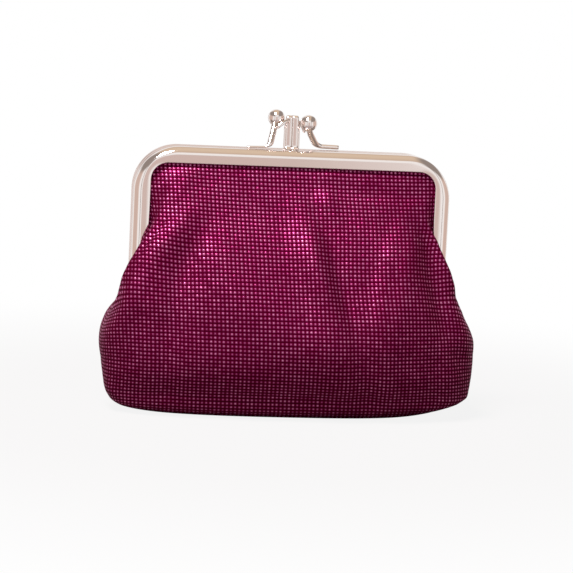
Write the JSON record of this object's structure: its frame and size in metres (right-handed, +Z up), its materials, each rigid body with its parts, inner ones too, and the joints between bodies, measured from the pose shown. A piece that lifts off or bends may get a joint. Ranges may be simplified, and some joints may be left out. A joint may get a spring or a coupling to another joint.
{
  "type": "kiss lock coin purse",
  "caption": "Standing coin purse of foil dotted cloth on a rolled metal frame, with pockets either side of a divider and ball posts that snap past a central catch.",
  "frame": {"origin": "centre of the footprint, on the surface that the purse stands on", "axes": "+X to the right as the front is seen, +Y from the front to the back, +Z up"},
  "size_m": [0.0982, 0.039, 0.0821],
  "materials": {
    "nickel": "bright nickel plate, lightly worn",
    "foil_cloth": "dark cloth with a grid of small metallic magenta foil dots",
    "lining": "plain black woven lining",
    "paper_cord": "twisted kraft paper cord"
  },
  "bodies": {
    "pouch": {"middle_frame": "nickel", "centre_catch": "nickel", "left_hinge_rivet": "nickel", "right_hinge_rivet": "nickel", "divider": "lining", "middle_paper_cord": "paper_cord", "front_panel_lower": "foil_cloth", "rear_panel_lower": "foil_cloth", "front_lining_lower": "lining", "rear_lining_lower": "lining"},
    "front_half": {"front_frame": "nickel", "front_clasp_post": "nickel", "front_clasp_ball": "nickel", "front_panel_upper": "foil_cloth", "front_lining_upper": "lining", "front_paper_cord": "paper_cord"},
    "rear_half": {"rear_frame": "nickel", "rear_clasp_post": "nickel", "rear_clasp_ball": "nickel", "rear_panel_upper": "foil_cloth", "rear_lining_upper": "lining", "rear_paper_cord": "paper_cord"}
  },
  "joints": [
    {"name": "front_hinge", "type": "hinge", "parent": "pouch", "child": "front_half", "pos_m": [0, 0, 0.0305], "axis": [1, 0, 0], "range_deg": [0, 50], "deforming": ["front_panel_upper"]},
    {"name": "rear_hinge", "type": "hinge", "parent": "pouch", "child": "rear_half", "pos_m": [0, 0, 0.0305], "axis": [-1, 0, 0], "range_deg": [0, 50], "deforming": ["rear_panel_upper"]}
  ]
}
